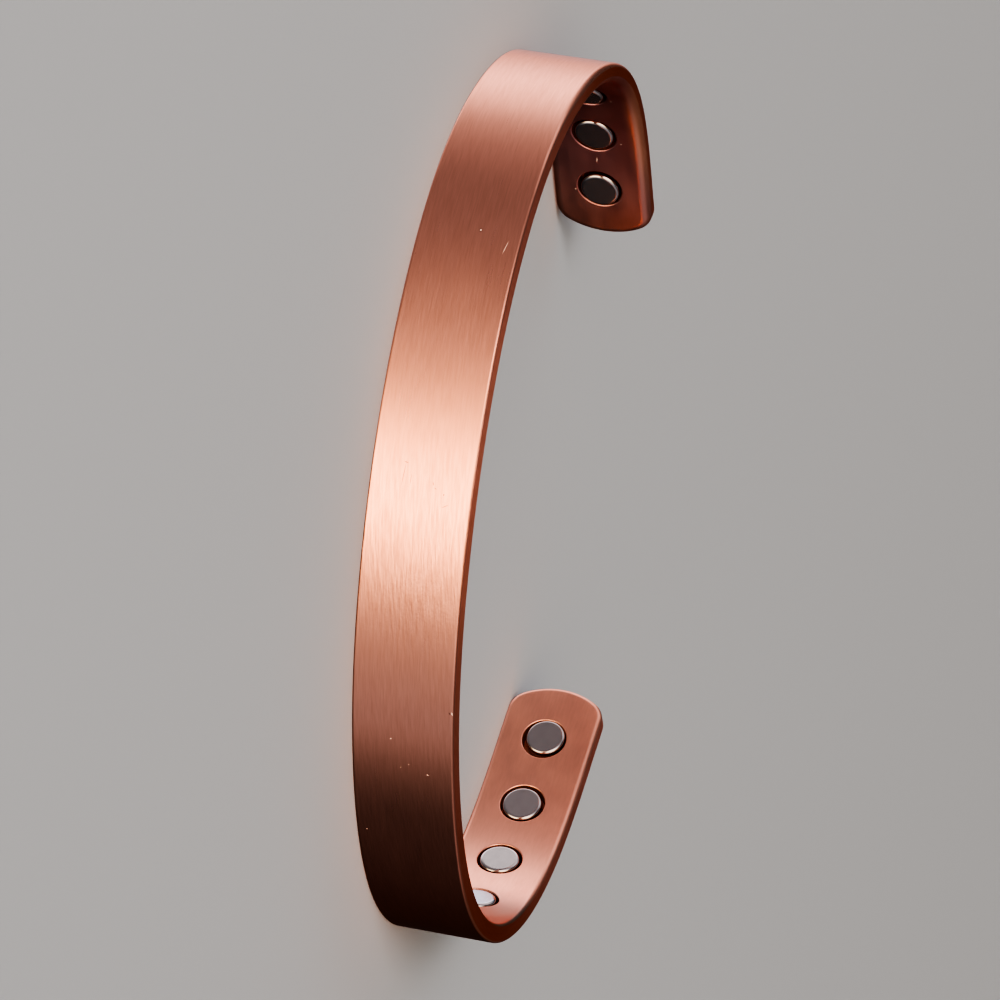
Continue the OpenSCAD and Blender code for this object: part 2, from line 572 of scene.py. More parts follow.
    def inside(self) -> Surface:
        """Makes the satin inside with its half of the rim, and a drilled patch at each seat.

        Returns:
            The sheet, with its quads under each patch left out, and the patches.
        """
        ribs, side = self.ribs()
        radius = self.inner_edge_r(side, ribs[:, 0])
        strip, out, flat = self.sheet(radius, radius, -self.thickness / 2)
        surface = Surface.grid(self.bent(strip, out), flat, Zone.SATIN.value)
        surface.slots[self.on_rim(strip)] = Zone.RIM.value
        rows, cols = strip.shape[:2]
        row, col = np.divmod(np.arange((rows - 1) * (cols - 1)), cols - 1)
        first = (cols - 1 - self.patch_columns) // 2
        last = first + self.patch_columns
        kept = np.ones(len(row), bool)
        patches = []
        for seat in self.seats.values():
            middle = seat.line.end.value * (self.half_len - seat.from_tip)
            ends = (middle - self.patch_reach, middle + self.patch_reach)
            low, high = (int(np.argmin(np.abs(strip[:, cols // 2, 0] - s))) for s in ends)
            kept &= ~((row >= low) & (row < high) & (col >= first) & (col < last))
            across, length = np.arange(first, last), np.arange(low, high)
            border = np.concatenate(
                [
                    np.stack([np.full(len(across), low), across], -1),
                    np.stack([length, np.full(len(length), last)], -1),
                    np.stack([np.full(len(across), high), across[::-1] + 1], -1),
                    np.stack([length[::-1] + 1, np.full(len(length), first)], -1),
                ]
            )
            patches.append(self.patch(seat, strip[border[:, 0], border[:, 1]]))
        surface.quads = surface.quads[kept]
        surface.slots = surface.slots[kept]
        return Surface.joined([surface, *patches])

    def patch(self, seat: Seat, border: np.ndarray) -> Surface:
        """Makes a drilled pocket and the inside face round it.

        Rings run from the patch's rectangular border to the round mouth, with each point on
        its own line to the middle. They then go over the lip, a quarter circle that follows
        the bent face, down the straight wall and across the floor to the middle.

        Args:
            seat: The magnet's place.
            border: Flat coordinates of the points of the border.

        Returns:
            The patch, whose outer ring lies on the border.
        """
        side = seat.line.end.value
        along = seat.reading(side * border[:, 0])
        drop = self.half_w - seat.middle_z
        up = border[:, 1] + drop
        turn = np.arctan2(up, along)
        mouth = self.pocket_r + self.pocket_lip
        ease = np.linspace(0, 1, self.patch_rings + 1)[:, None]
        rim = np.array([[mouth + self.support]])
        near = np.stack([rim * np.cos(turn), rim * np.sin(turn)], -1)
        far = np.stack([along, up], -1)[None]
        rings = far + (near - far) * ease[..., None]
        lip_turn = np.linspace(0, math.pi / 2, self.round_columns + 1)
        lip_r = mouth - self.pocket_lip * np.sin(lip_turn)
        lip_down = self.pocket_lip * (1 - np.cos(lip_turn))
        # The wall's three rings lie under the lip, just over the floor and on the floor
        floor_r = self.pocket_r * np.array(self.floor_rings)
        round_r = np.concatenate([lip_r, [self.pocket_r] * 3, floor_r])
        circle = round_r[:, None, None] * np.stack([np.cos(turn), np.sin(turn)], -1)
        plan = np.concatenate([rings, circle])
        floor = -self.pocket_depth
        height = seat.rise(plan[..., 0])
        wall = len(rings) + len(lip_r)
        height[len(rings) : wall] -= lip_down[:, None]
        height[wall] = height[wall - 1] - self.support
        height[wall + 1] = floor + self.support
        height[wall + 2 :] = floor
        points = seat.point(plan[..., 0], plan[..., 1], height)
        flat = np.stack([side * seat.distance(plan[..., 0]), plan[..., 1] - drop], -1)
        patch = Surface.grid(points, flat, Zone.SATIN.value, closed=True)
        patch.slots[wall * len(border) :] = Zone.DRILLED.value
        return patch

    def build(self, materials: list[Material]) -> Piece:
        """Makes the band as one closed piece in the place of the part's own.

        Args:
            materials: Brushed, satin, rim and drilled copper.

        Returns:
            The band.
        """
        piece = Surface.joined([self.outside(), self.inside()]).make("copper_band", materials)
        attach(piece, BODY)
        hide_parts("band")
        return piece


@dataclass
class Magnet:
    """A round plated magnet in its pocket: a profile turned about the pocket's axis."""

    name: str
    seat: Seat
    shift_along: float
    shift_up: float
    diameter: float = 3.5
    edge_r: float = 0.3
    height: float = 1.3
    base: float = -1.15
    foot: float = 0.1
    sides: int = 96
    round_rings: int = 10
    support: float = 0.03

    def profile(self) -> np.ndarray:
        """Follows the magnet's section: base, straight side, rounded edge and flat face.

        Returns:
            Rows of radius and height over the base.
        """
        r, h, e = self.diameter / 2, self.height, self.edge_r
        turn = np.linspace(0, math.pi / 2, self.round_rings + 1)
        rounded = np.stack([r - e + e * np.cos(turn), h - e + e * np.sin(turn)], -1)
        low = np.array([[0, 0], [r - self.foot, 0], [r, self.foot], [r, h - e - self.support]])
        high = np.array([[r - e - self.support, h], [(r - e) / 2, h], [0, h]])
        return np.concatenate([low, rounded, high])

    def build(self, material: Material) -> Piece:
        """Turns the profile round the axis: radius times the cosine and sine of the turn.

        Args:
            material: The plating.

        Returns:
            The magnet, in the place of the part's own.
        """
        section = self.profile()
        turn = np.linspace(0, 2 * math.pi, self.sides, endpoint=False)
        x = section[:, :1] * np.cos(turn)
        y = section[:, :1] * np.sin(turn)
        height = self.base + section[:, 1:] + 0 * x
        points = self.seat.point(x + self.shift_along, y + self.shift_up, height)
        flat = np.stack([x, y], -1)
        piece = Surface.grid(points, flat, 0, closed=True).make("plated_" + self.name, [material])
        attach(piece, BODY)
        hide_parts(self.name)
        return piece


# The range in which nearly all of a noise lies, as a Map Range node takes it
NOISE_RANGE = {"From Min": 0.3, "From Max": 0.7}
# How metallic the surface is, from where a painted glint isn't to where it is
METALLIC_TO_GLINT = {"To Min": 1.0, "To Max": 0.3}


def spread(middle: float, share: float) -> dict[str, float]:
    """Gives a Map Range node's ends, a share of the middle below it and above it."""
    return {"To Min": middle * (1 - share), "To Max": middle * (1 + share)}


class Finish:
    """What all finishes share: the shader, and layers of colour."""

    name: str

    def make(self) -> Material:
        """Makes the material: a Principled shader with the finish's own inputs.

        Returns:
            The material.
        """
        material = bpy.data.materials.new(self.name)
        material.use_nodes = True
        tree = material.node_tree
        tree.nodes.clear()
        shader = add(tree, "ShaderNodeBsdfPrincipled", self.inputs(tree))
        add(tree, "ShaderNodeOutputMaterial", {"Surface": shader.outputs["BSDF"]})
        return material

    def layered(self, tree: Tree, colour: str, layers: list[tuple[Socket, str]]) -> Socket:
        """Lays colours over one another.

        Args:
            tree: The node tree.
            colour: Hex colour of the ground.
            layers: How much of each layer there is, and its hex colour, from the lowest up.

        Returns:
            The colour on top.
        """
        result = linear(colour)
        for share, over in layers:
            inputs = {"Factor": share, "A": result, "B": linear(over)}
            result = add(tree, "ShaderNodeMix", inputs, data_type="RGBA").outputs["Result"]
        return result

    def fold(self, tree: Tree, operation: str, values: list) -> Socket:
        """Joins several values into one.

        Args:
            tree: The node tree.
            operation: How the next value joins the ones before it.
            values: Sockets or numbers, a socket first.

        Returns:
            The result.
        """
        result = values[0]
        for value in values[1:]:
            inputs = {0: result, 1: value}
            result = add(tree, "ShaderNodeMath", inputs, operation=operation).outputs[0]
        return result


@dataclass(frozen=True)
class Grain:
    """Cloudy noise on the flat strip: the size of a grain along and across it, in mm."""

    along: float
    across: float
    # Layers of finer noise, and how strong each is against the one before
    octaves: float = 2.0
    falloff: float = 0.55

    def on(self, tree: Tree, uv: Socket) -> Socket:
        """Adds the noise.

        Args:
            tree: The node tree.
            uv: Flat coordinates in mm.

        Returns:
            The noise, from 0 to 1 with a middle of one half.
        """
        scale = {"Vector": uv, "Scale": (1 / self.along, 1 / self.across, 1)}
        scaled = add(tree, "ShaderNodeMapping", scale).outputs[0]
        cloudy = {"Scale": 1.0, "Detail": self.octaves, "Roughness": self.falloff}
        return add(tree, "ShaderNodeTexNoise", {"Vector": scaled, **cloudy}).outputs["Fac"]


@dataclass(frozen=True)
class Mark:
    """A place on the flat strip: an ellipse in mm and degrees, whole in its core."""

    s: float
    u: float
    length: float
    width: float
    turn: float = 0.0
    core: float = 0.4

    def on(self, tree: Tree, uv: Socket) -> Socket:
        """Measures how much of the mark there is at a point.

        Args:
            tree: The node tree.
            uv: Flat coordinates in mm.

        Returns:
            One inside the mark, falling to zero at its edge.
        """
        ellipse = {
            "Vector": uv,
            "Location": (self.s, self.u, 0),
            "Rotation": (0, 0, math.radians(self.turn)),
            "Scale": (self.length / 2, self.width / 2, 1),
        }
        placed = add(tree, "ShaderNodeMapping", ellipse, vector_type="TEXTURE").outputs[0]
        reach = add(tree, "ShaderNodeVectorMath", {0: placed}, operation="LENGTH").outputs["Value"]
        fall = {"Value": reach, "From Min": 1.0, "From Max": self.core}
        return add(tree, "ShaderNodeMapRange", fall, interpolation_type="SMOOTHSTEP").outputs[0]


@dataclass(frozen=True)
class BrushedCopper(Finish):
    """Bare copper, drawn lengthwise over an abrasive belt and then lacquered.

    The eye sees warm pink metal whose highlights smear across the strip, in fine broken
    lines that run along it, and small painted glints as light specks.
    """

    name: str = "brushed_copper"
    colour: str = "EFA38C"
    groove_colour: str = "C4806A"
    dark_colour: str = "8A5142"
    # Near-white colour of the light specks, which are painted glints
    glint_colour: str = "FFCFBC"
    edge_tint: str = "FFC9B4"
    roughness: float = 0.3
    # How far highlights smear, and a quarter turn, so that they do it across the strip
    anisotropy: float = 0.75
    smear_turn: float = 0.25
    # Grooves of a 240 grit belt are 0.05 mm apart, drawn coarser here so that they show
    groove: Grain = Grain(2.4, 0.1)
    streak: Grain = Grain(5.0, 0.24, octaves=3.0)
    cloud: Grain = Grain(9.0, 3.5)
    # How far each of them turns the metal to the grooves' colour, or changes its roughness
    groove_share: float = 0.25
    streak_share: float = 0.15
    wrinkle_share: float = 0.5
    streak_roughness: float = 0.08
    cloud_roughness: float = 0.05
    # Wrinkles that the belt leaves, a little askew to the strip, and their height in mm
    wrinkle: Grain = Grain(2.3, 0.21)
    wrinkle_range: tuple[float, float] = (0.38, 0.62)
    wrinkle_height: float = 0.026
    askew: float = -6.0
    # Where the belt bit deeper, with the wrinkles' share elsewhere, and where it left pits
    # like orange peel
    coarse: Mark = Mark(-1.5, 0.0, 20.0, 16.0)
    fine_share: float = 0.3
    peel: Mark = Mark(4.5, 0.5, 12.0, 12.0)
    pit: Grain = Grain(0.3, 0.2, octaves=1.0)
    pit_height: float = 0.005
    # Dark marks of wear and a dent's painted shade, and light specks that are painted glints
    dark_marks: tuple[Mark, ...] = ()
    glint_marks: tuple[Mark, ...] = ()

    def inputs(self, tree: Tree) -> dict:
        """Adds grooves, streaks, marks and painted glints in colour and roughness, and the wrinkles
        as relief.

        Args:
            tree: The material's nodes.

        Returns:
            The shader's inputs.
        """
        uv = add(tree, "ShaderNodeUVMap", uv_map=FLAT_UV).outputs["UV"]
        tangent = add(tree, "ShaderNodeTangent", direction_type="UV_MAP", uv_map=FLAT_UV)
        askew = {"Vector": uv, "Rotation": (0, 0, math.radians(self.askew))}
        turned = add(tree, "ShaderNodeMapping", askew).outputs[0]
        groove, streak, cloud = (
            grain.on(tree, uv) for grain in (self.groove, self.streak, self.cloud)
        )
        wrinkle = self.wrinkle.on(tree, turned)
        from_range = dict(zip(("From Min", "From Max"), self.wrinkle_range))
        bitten, grooved, streaked, wrinkled, smeared, clouded = (
            add(tree, "ShaderNodeMapRange", {"Value": value, **ends}).outputs["Result"]
            for value, ends in (
                (self.coarse.on(tree, uv), {"To Min": self.fine_share}),
                (groove, {**NOISE_RANGE, "To Max": self.groove_share}),
                (streak, {**NOISE_RANGE, "To Max": self.streak_share}),
                (wrinkle, {**from_range, "To Max": self.wrinkle_share}),
                (streak, {**NOISE_RANGE, **spread(self.roughness, self.streak_roughness)}),
                (cloud, {**NOISE_RANGE, **spread(1.0, self.cloud_roughness)}),
            )
        )
        wrinkled = self.fold(tree, "MULTIPLY", [wrinkled, bitten])
        layers = [(self.fold(tree, "ADD", [grooved, streaked, wrinkled]), self.groove_colour)]
        marked = ((self.dark_marks, self.dark_colour), (self.glint_marks, self.glint_colour))
        layers += [
            (self.fold(tree, "MAXIMUM", [mark.on(tree, uv) for mark in marks]), colour)
            for marks, colour in marked
            if marks
        ]
        metal = 1.0
        # Under a painted glint the metal gives way to near-white paint
        if self.glint_marks:
            glint_range = {"Value": layers[-1][0], **METALLIC_TO_GLINT}
            metal = add(tree, "ShaderNodeMapRange", glint_range).outputs[0]
        pits = [self.pit.on(tree, uv), self.peel.on(tree, uv), self.pit_height]
        pits = self.fold(tree, "MULTIPLY", pits)
        folds = self.fold(tree, "MULTIPLY", [wrinkle, bitten, self.wrinkle_height])
        heights = self.fold(tree, "ADD", [folds, pits])
        relief = {"Height": heights, "Strength": 1.0, "Distance": METRES}
        return {
            "Base Color": self.layered(tree, self.colour, layers),
            "Metallic": metal,
            "Roughness": self.fold(tree, "MULTIPLY", [smeared, clouded]),
            "Specular Tint": linear(self.edge_tint),
            "Anisotropic": self.anisotropy,
            "Anisotropic Rotation": self.smear_turn,
            "Tangent": tangent.outputs[0],
            "Normal": add(tree, "ShaderNodeBump", relief).outputs[0],
        }


@dataclass(frozen=True)
class SatinCopper(Finish):
    """Bare copper, tumbled smooth, as on the inside.

    The eye sees soft even reflections with hardly any lines.
    """

    name: str = "satin_copper"
    colour: str = "F7AB93"
    grain_colour: str = "E89F88"
    edge_tint: str = "E8957A"
    roughness: float = 0.36
    # Painted shade: the metal is darker and duller in the upper fold, and darker and greyer in the
    # lower one
    upper_fold_shade: Mark = Mark(-63.0, 0.0, 50.0, 40.0, core=0.2)
    upper_fold_shade_colour: str = "BF8484"
    lower_fold_shade: Mark = Mark(48.5, 0.0, 17.0, 40.0, core=0.4)
    lower_fold_shade_colour: str = "B5988B"
    # A painted highlight along the upper fold's rounded upper edge
    upper_edge_highlight: Mark = Mark(-67.0, 4.9, 22.0, 4.4, core=0.3)
    upper_edge_highlight_colour: str = "FFB495"
    cloud: Grain = Grain(4.0, 2.0, octaves=3.0)
    cloud_roughness: float = 0.15
    grain: Grain = Grain(1.2, 0.2)
    grain_share: float = 0.5
    # Near-white colour of the light scratch and specks, which are painted glints
    glint_colour: str = "FFE4D6"
    glint_marks: tuple[Mark, ...] = ()

    def inputs(self, tree: Tree) -> dict:
        """Adds a fine grain, the painted shade of both folds and the painted highlight on the upper
        edge over it, and the painted glints on top.

        Args:
            tree: The material's nodes.

        Returns:
            The shader's inputs.
        """
        uv = add(tree, "ShaderNodeUVMap", uv_map=FLAT_UV).outputs["UV"]
        # Where the painted glints are
        light = self.fold(tree, "MAXIMUM", [mark.on(tree, uv) for mark in self.glint_marks])
        grained, metal, rough = (
            add(tree, "ShaderNodeMapRange", {"Value": value, **ends}).outputs["Result"]
            for value, ends in (
                (self.grain.on(tree, uv), {**NOISE_RANGE, "To Max": self.grain_share}),
                (light, METALLIC_TO_GLINT),
                (
                    self.cloud.on(tree, uv),
                    {**NOISE_RANGE, **spread(self.roughness, self.cloud_roughness)},
                ),
            )
        )
        layers = [
            (grained, self.grain_colour),
            # Painted shade in the upper and lower fold, and a painted highlight on the upper fold's
            # edge
            (self.upper_fold_shade.on(tree, uv), self.upper_fold_shade_colour),
            (self.lower_fold_shade.on(tree, uv), self.lower_fold_shade_colour),
            (self.upper_edge_highlight.on(tree, uv), self.upper_edge_highlight_colour),
            (light, self.glint_colour),
        ]
        return {
            "Base Color": self.layered(tree, self.colour, layers),
            "Metallic": metal,
            "Roughness": rough,
            "Specular Tint": linear(self.edge_tint),
        }


@dataclass(frozen=True)
class DrilledCopper(Finish):
    """Drilled copper, darker than the faces, as in the gap round a magnet.

    The eye sees a dark brown line round each magnet.
    """

    name: str = "drilled_copper"
    colour: str = "CC8E78"
    # Roughness at its least and at its most
    roughness: tuple[float, float] = (0.36, 0.5625)
    cloud: Grain = Grain(0.5, 0.5)

    def inputs(self, tree: Tree) -> dict:
        """Adds a roughness that wanders, under one colour.

        Args:
            tree: The material's nodes.

        Returns:
            The shader's inputs.
        """
        uv = add(tree, "ShaderNodeUVMap", uv_map=FLAT_UV).outputs["UV"]
        ends = {**NOISE_RANGE, **dict(zip(("To Min", "To Max"), self.roughness))}
        rough = add(tree, "ShaderNodeMapRange", {"Value": self.cloud.on(tree, uv), **ends})
        return {
            "Base Color": linear(self.colour),
            "Metallic": 1.0,
            "Roughness": rough.outputs["Result"],
            "Specular Tint": linear(self.colour),
        }


@dataclass(frozen=True)
class SatinNickel(Finish):
    """Nickel plating on a sintered magnet, dull on its ground face and bright on its edge.

    The eye sees a grey face with a soft sheen, ringed by a sharp bright line.
    """

    name: str = "satin_nickel"
    colour: str = "BDB1AF"
    spot_colour: str = "AEA2A1"
    face_roughness: float = 0.27
    edge_roughness: float = 0.16
    # Radii in mm between which the face's roughness becomes the edge's
    face_r: float = 1.42
    edge_r: float = 1.5
    # Grinding spots and grain, and the least share of each in the spots' colour
    spot: Grain = Grain(0.9, 0.9, octaves=3.0)
    spot_least: float = 0.3
    grain: Grain = Grain(0.9, 0.12)
    grain_least: float = 0.5

    def inputs(self, tree: Tree) -> dict:
        """Adds spots and grain in colour, and a roughness by the distance from the middle.

        Args:
            tree: The material's nodes.

        Returns:
            The shader's inputs.
        """
        uv = add(tree, "ShaderNodeUVMap", uv_map=FLAT_UV).outputs["UV"]
        radius = add(tree, "ShaderNodeVectorMath", {0: uv}, operation="LENGTH").outputs["Value"]
        radii = {"From Min": self.face_r, "From Max": self.edge_r}
        roughness = {"To Min": self.face_roughness, "To Max": self.edge_roughness}
        spotted, grained, rough = (
            add(tree, "ShaderNodeMapRange", {"Value": value, **ends}).outputs["Result"]
            for value, ends in (
                (self.spot.on(tree, uv), {**NOISE_RANGE, "To Min": self.spot_least}),
                (self.grain.on(tree, uv), {**NOISE_RANGE, "To Min": self.grain_least}),
                (radius, {**radii, **roughness}),
            )
        )
        layers = [(self.fold(tree, "MULTIPLY", [spotted, grained]), self.spot_colour)]
        colour = self.layered(tree, self.colour, layers)
        return {"Base Color": colour, "Metallic": 1.0, "Roughness": rough}


@dataclass(frozen=True)
class FloorPaint(Finish):
    """Matt pale grey paint, even, with a faint roller texture."""

    name: str = "floor_paint"
    colour: str = "ADADB0"
    roughness: float = 0.9
    # Size and height of the roller's texture in mm, and how much of it shows
    roller: Grain = Grain(2.0, 2.0)
    roller_height: float = 0.1
    roller_strength: float = 0.05

    def inputs(self, tree: Tree) -> dict:
        """Adds a faint relief, under one colour.

        Args:
            tree: The material's nodes.

        Returns:
            The shader's inputs.
        """
        uv = add(tree, "ShaderNodeUVMap", uv_map=FLAT_UV).outputs["UV"]
        relief = {
            "Height": self.roller.on(tree, uv),
            "Strength": self.roller_strength,
            "Distance": self.roller_height * METRES,
        }
        return {
            "Base Color": linear(self.colour),
            "Roughness": self.roughness,
            "Normal": add(tree, "ShaderNodeBump", relief).outputs[0],
        }


@dataclass
class Studio:
    """The floor, a lamp, the surroundings that the metal reflects, and the camera.

    A bearing is an angle in plan, counted from straight in front of the cuff's back and
    positive to the right.
    """

    # Bearing, elevation, roll and distance of the camera, and the point it looks at
    camera_bearing: float = -12.76
    camera_elevation: float = 14.82
    camera_roll: float = 99.21
    camera_distance: float = 463.9
    camera_aim: Place = (0.06, 0.93, 3.47)
    # Its lens and sensor in mm, and the nearest and furthest that it sees, in metres
    lens: float = 198.35
    sensor: float = 36.0
    clip: tuple[float, float] = (0.01, 20.0)

    # Light from the sides and from just under the horizon: bearing in degrees and level
    around: tuple = (
        (-180, 0.58), (-164, 1.1), (-149, 1.85), (-136, 2.7), (-124, 1.8),
        (-110, 0.66), (-96, 0.38), (-77, 0.25), (-58, 0.265), (-47, 0.29),
        (-38, 0.3), (-30, 0.42), (-20, 0.9), (-11, 2.3), (-3, 4.9), (4, 6.0),
        (11, 3.4), (19, 1.1), (28, 0.52), (41, 0.435), (50, 0.45), (58, 0.165),
        (70, 0.046), (105, 0.03), (150, 0.018), (173, 0.02), (180, 0.45),
    )
    # Light from higher up
    above: tuple = (
        (-180, 0.13), (-166, 0.12), (-152, 0.14), (-143, 0.42), (-130, 0.6),
        (-115, 1.1), (-92, 1.0), (-78, 0.35), (-60, 0.6), (-48, 1.2),
        (-34, 3.2), (-22, 3.6), (-8, 3.2), (6, 2.8), (25, 1.1), (50, 0.45),
        (80, 0.33), (95, 0.35), (108, 0.19), (122, 0.12), (150, 0.11),
        (180, 0.13),
    )
    # Light from further down
    below: tuple = (
        (-180, 0.8), (-150, 0.5), (-120, 0.25), (-70, 0.22), (-15, 0.1),
        (90, 0.04), (150, 0.04), (180, 1.0),
    )
    # Light from overhead, the same all round, and a spot in it: its direction and level, and
    # the angles from that direction at which it begins and is whole
    overhead: float = 0.11
    spot: Place = (0.08, 0.15, 0.985)
    spot_level: float = 3.4
    spot_reach: tuple[float, float] = (10.0, 4.0)
    # Height of a direction, as the sine of its elevation, from which it begins to take the
    # light of another kind, and at which it takes nothing else
    to_above: tuple[float, float] = (-0.05, 0.22)
    to_below: tuple[float, float] = (-0.6, -0.9)
    to_overhead: tuple[float, float] = (0.6, 0.9)
    # Colour of all the light by bearing: cool daylight at the left, a warm lamp in front
    tint: tuple = (
        (-180, "D1E7FF"), (-150, "D1E7FF"), (-136, "DEE7F2"), (-120, "E7E7E7"),
        (-96, "E9E5EA"), (-58, "E9E5EA"), (-30, "EEE5DA"), (-12, "F9E5BE"),
        (12, "F9E6BC"), (24, "EAE7DF"), (45, "DFE7F2"), (60, "E7E7E7"),
        (80, "E8E3EA"), (130, "EEE4E2"), (180, "D1E7FF"),
    )
    # The highest level, and the grey that a tint has when it takes no light away
    top_level: float = 6.0
    no_tint: str = "E7E7E7"
    # What the camera sees behind the floor
    backdrop: str = "C9C9CC"
    backdrop_level: float = 0.6
    # A soft lamp that shades only the floor: place and side in mm, and power in watts
    lamp_place: Place = (-500.0, -700.0, 900.0)
    lamp_side: float = 500.0
    lamp_power: float = 6.0
    # How far the floor reaches to each side in mm, and the points along a side
    floor_reach: float = 1500.0
    floor_points: int = 5

    def ramps(self, tree: Tree, turn: Socket) -> list[Socket]:
        """Adds the light levels and the tint by bearing, in a straight line between rows.

        Args:
            tree: The world's nodes.
            turn: The bearing, from 0 at -180 degrees to 1 at 180 degrees.

        Returns:
            The levels around, above and below as shares of the top level, and the tint.
        """
        colours = []
        for rows in (self.around, self.above, self.below, self.tint):
            node = add(tree, "ShaderNodeValToRGB", {"Fac": turn})
            node.color_ramp.interpolation = "LINEAR"
            stops = node.color_ramp.elements
            while len(stops) < len(rows):
                stops.new(0.5)
            for stop, (bearing, value) in zip(stops, rows):
                stop.position = (bearing + 180) / 360
                if isinstance(value, str):
                    stop.color = linear(value)
                else:
                    stop.color = (value / self.top_level,) * 3 + (1,)
            colours.append(node.outputs["Color"])
        return colours

    def light(self, tree: Tree, way: Socket) -> Socket:
        """Works out the light that comes from a direction.

        The bearing is the arc tangent of the way to the right over the way to the front. It
        gives the levels around, above and below, and the direction's height fades from one
        to the other, and at last to overhead, where the angle to the spot decides.

        Args:
            tree: The world's nodes.
            way: The direction.

        Returns:
            The light, as a share of the top level.
        """
        axes = add(tree, "ShaderNodeSeparateXYZ", {0: way}).outputs
        front = add(tree, "ShaderNodeMath", {0: axes["Y"], 1: -1.0}, operation="MULTIPLY")
        sides = {0: axes["X"], 1: front.outputs[0]}
        bearing = add(tree, "ShaderNodeMath", sides, operation="ARCTAN2").outputs[0]
        whole_turn = {"From Min": -math.pi, "From Max": math.pi}
        turn = add(tree, "ShaderNodeMapRange", {"Value": bearing, **whole_turn}).outputs[0]
        level, above, below, tint = self.ramps(tree, turn)
        ways = {0: way, 1: self.spot}
        near = add(tree, "ShaderNodeVectorMath", ways, operation="DOT_PRODUCT").outputs["Value"]
        begins, whole = (math.cos(math.radians(angle)) for angle in self.spot_reach)
        overhead = {
            "Value": near,
            "From Min": begins,
            "From Max": whole,
            "To Min": self.overhead / self.top_level,
            "To Max": self.spot_level / self.top_level,
        }
        over = add(tree, "ShaderNodeMapRange", overhead).outputs[0]
        for (begins, whole), other in (
            (self.to_above, above),
            (self.to_below, below),
            (self.to_overhead, over),
        ):
            height = {"Value": axes["Z"], "From Min": begins, "From Max": whole}
            share = add(tree, "ShaderNodeMapRange", height, interpolation_type="SMOOTHSTEP")
            inputs = {"Factor": share.outputs[0], "A": level, "B": other}
            level = add(tree, "ShaderNodeMix", inputs, data_type="RGBA").outputs["Result"]
        inputs = {"Factor": 1.0, "A": level, "B": tint}
        tinted = add(tree, "ShaderNodeMix", inputs, data_type="RGBA", blend_type="MULTIPLY")
        return tinted.outputs["Result"]

    def surroundings(self) -> None:
        """Makes the world: what the metal reflects, and a pale backdrop for the camera."""
        world = bpy.data.worlds.new("studio")
        bpy.context.scene.world = world
        world.use_nodes = True
        tree = world.node_tree
        tree.nodes.clear()
        way = add(tree, "ShaderNodeTexCoord").outputs["Generated"]
        seen = add(tree, "ShaderNodeLightPath").outputs["Is Camera Ray"]
        strength = self.top_level / linear(self.no_tint)[0]
        studio, backdrop = (
            add(tree, "ShaderNodeBackground", {"Color": colour, "Strength": level}).outputs[0]
            for colour, level in (
                (self.light(tree, way), strength),
                (linear(self.backdrop), self.backdrop_level),
            )
        )
        both = add(tree, "ShaderNodeMixShader", {0: seen, 1: studio, 2: backdrop})
        add(tree, "ShaderNodeOutputWorld", {"Surface": both.outputs[0]})

    def floor(self) -> None:
        """Makes the floor: a flat grid, which the metal neither reflects nor is shaded by."""
        side = np.linspace(-self.floor_reach, self.floor_reach, self.floor_points)
        x, y = np.meshgrid(side, side, indexing="ij")
        points = np.stack([x, y, 0 * x], -1)
        floor = Surface.grid(points, points[..., :2], 0).make("floor", [FloorPaint().make()])
        floor.visible_glossy = False
        floor.visible_shadow = False

    def lamp(self) -> None:
        """Makes the soft square lamp, which points at the cuff."""
        light = bpy.data.lights.new("lamp_side", "AREA")
        light.size = self.lamp_side * METRES
        light.energy = self.lamp_power
        lamp = bpy.data.objects.new("lamp_side", light)
        bpy.context.scene.collection.objects.link(lamp)
        lamp.location = Vector(self.lamp_place) * METRES
        lamp.rotation_euler = lamp.location.to_track_quat("Z", "Y").to_euler()
        lamp.visible_glossy = False

    def camera(self) -> None:
        """Makes the camera from its bearing, elevation, roll and distance."""
        bearing, rise = math.radians(self.camera_bearing), math.radians(self.camera_elevation)
        level, height = math.cos(rise), math.sin(rise)
        back = Vector((math.sin(bearing) * level, -math.cos(bearing) * level, height))
        right = Vector((0, 0, 1)).cross(back).normalized()
        turned = Matrix.Rotation(math.radians(self.camera_roll), 3, back) @ right
        up = back.cross(turned)
        data = bpy.data.cameras.new("camera")
        data.lens = self.lens
        data.sensor_width = self.sensor
        data.clip_start, data.clip_end = self.clip
        camera = bpy.data.objects.new("camera", data)
        bpy.context.scene.collection.objects.link(camera)
        place = (Vector(self.camera_aim) + back * self.camera_distance) * METRES
        turn = Matrix((turned, up, back)).transposed().to_4x4()
        camera.matrix_world = Matrix.Translation(place) @ turn
        bpy.context.scene.camera = camera

    def build(self) -> None:
        """Makes everything round the cuff and sets how light becomes picture."""
        self.surroundings()
        self.floor()
        self.lamp()
        self.camera()
        view = bpy.context.scene.view_settings
        view.view_transform = "AgX"
        view.look = "AgX - High Contrast"


@dataclass
class MagnetSet:
    """The eight magnets, each a little off the middle of its pocket.

    A row counts from the tip: the share of the pocket's gap that the magnet lies towards the
    tip and towards the upper edge, at the left end and at the right end.
    """

    band: CopperBand
    gap: float = 0.22
    seats: tuple = (
        (0.60, 0.00, 0.75, 0.40),
        (-0.20, 0.10, -0.25, -0.10),
        (0.50, -0.20, 0.00, 0.00),
        (0.00, 0.00, 0.00, 0.00),
    )

    def build(self) -> list[Piece]:
        """Makes all the magnets.

        Returns:
            The magnets.
        """
        nickel = SatinNickel().make()
        pieces = []
        for (end, number), seat in self.band.seats.items():
            row = self.seats[number - 1]
            along, up = row[:2] if end is End.LEFT else row[2:]
            name = f"magnet_{end.name.lower()}_{number}"
            pieces.append(Magnet(name, seat, along * self.gap, up * self.gap).build(nickel))
        return pieces
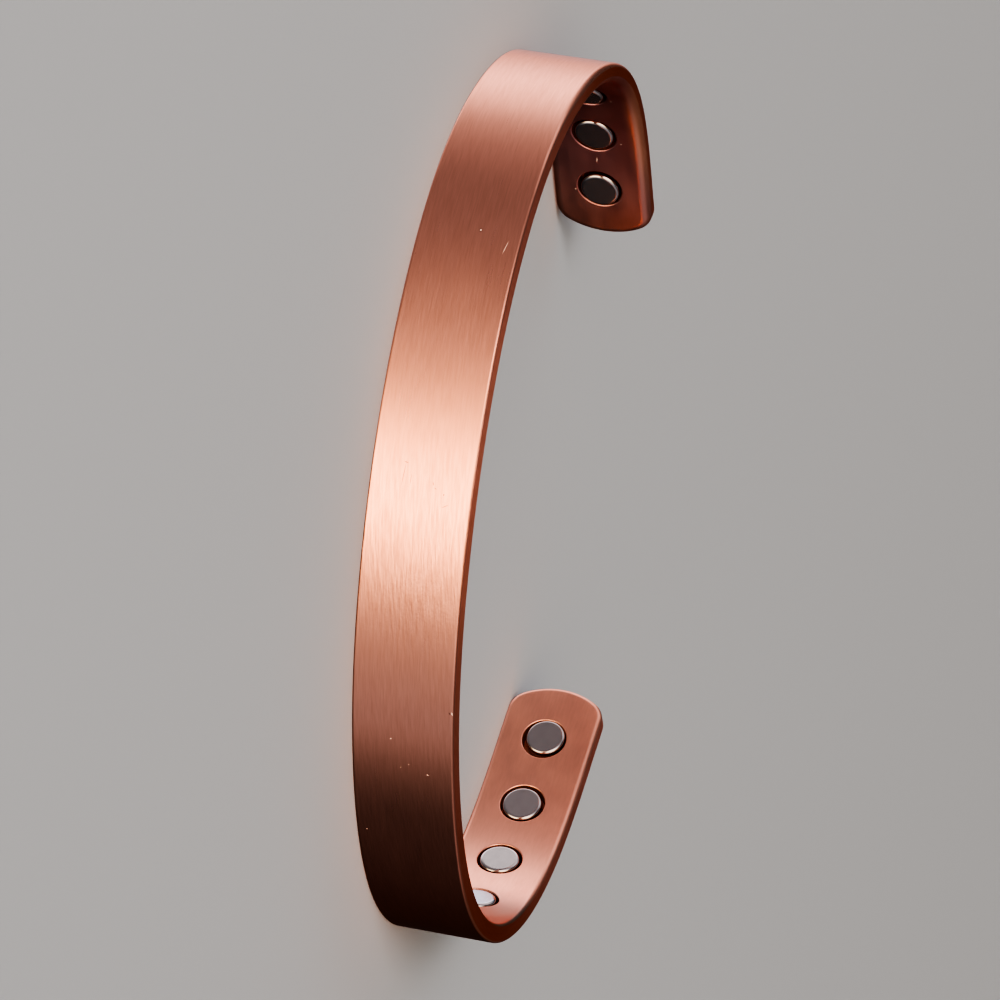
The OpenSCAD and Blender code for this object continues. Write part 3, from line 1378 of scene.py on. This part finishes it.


# Marks of wear on the outside: a pit and scratches that are dark; specks that are light, which are
# painted glints; and a dent, drawn as a dark mark of painted shade and a light mark of painted
# highlight
OUTSIDE_DARK = (
    Mark(-5.72, 1.96, 0.18, 0.14),
    Mark(-6.45, 1.0, 0.4, 0.07, 20),
    Mark(-6.1, 1.22, 0.3, 0.07, 70),
    Mark(-4.84, 2.18, 0.8, 0.06, -60),
    Mark(-7.8, -1.43, 0.45, 0.09, 80),
    Mark(-6.85, -1.53, 2.4, 0.06, -5),
    Mark(-6.5, -0.9, 1.2, 0.05, -2),
    Mark(-26.97, 0.79, 0.42, 0.32),
    # The dent in the right edge: its painted shade
    Mark(12.0, 3.95, 0.3, 0.12, 30),
)
OUTSIDE_GLINTS = (
    Mark(-26.97, 0.79, 0.26, 0.2),
    Mark(-25.8, 3.15, 1.5, 0.06, -12),
    Mark(18.06, 2.12, 0.14, 0.26),
    Mark(24.92, -3.43, 0.15, 0.15),
    Mark(15.17, -0.97, 0.18, 0.16),
    Mark(17.75, -0.16, 0.1, 0.1),
    Mark(17.34, 0.52, 0.1, 0.1),
    # The same dent's painted highlight
    Mark(12.0, 4.15, 0.4, 0.12, 20),
)
# The same on the inside: a scratch and two specks, all light, all painted glints
INSIDE_GLINTS = (
    Mark(-71.3, 0.0, 0.8, 0.09, 6),
    Mark(-62.44, 2.25, 0.15, 0.15),
    Mark(-75.17, -2.19, 0.16, 0.14),
    Mark(-68.9, 2.35, 0.14, 0.12),
)


def main() -> None:
    """Builds the cuff and the studio, and reports each piece."""
    logging.basicConfig(level=logging.INFO, format="%(message)s")
    copper = [
        BrushedCopper(dark_marks=OUTSIDE_DARK, glint_marks=OUTSIDE_GLINTS).make(),
        SatinCopper(glint_marks=INSIDE_GLINTS).make(),
        BrushedCopper(
            name="brushed_rim_copper",
            colour="F7A28D",
            groove_colour="CE7B64",
            edge_tint="E0866A",
            roughness=0.4,
        ).make(),
        DrilledCopper().make(),
    ]
    band = CopperBand()
    pieces = [band.build(copper), *MagnetSet(band).build()]
    Studio().build()
    for piece in pieces:
        log.info("%s: %d faces", piece.name, len(piece.data.polygons))


if __name__ == "__main__":
    main()
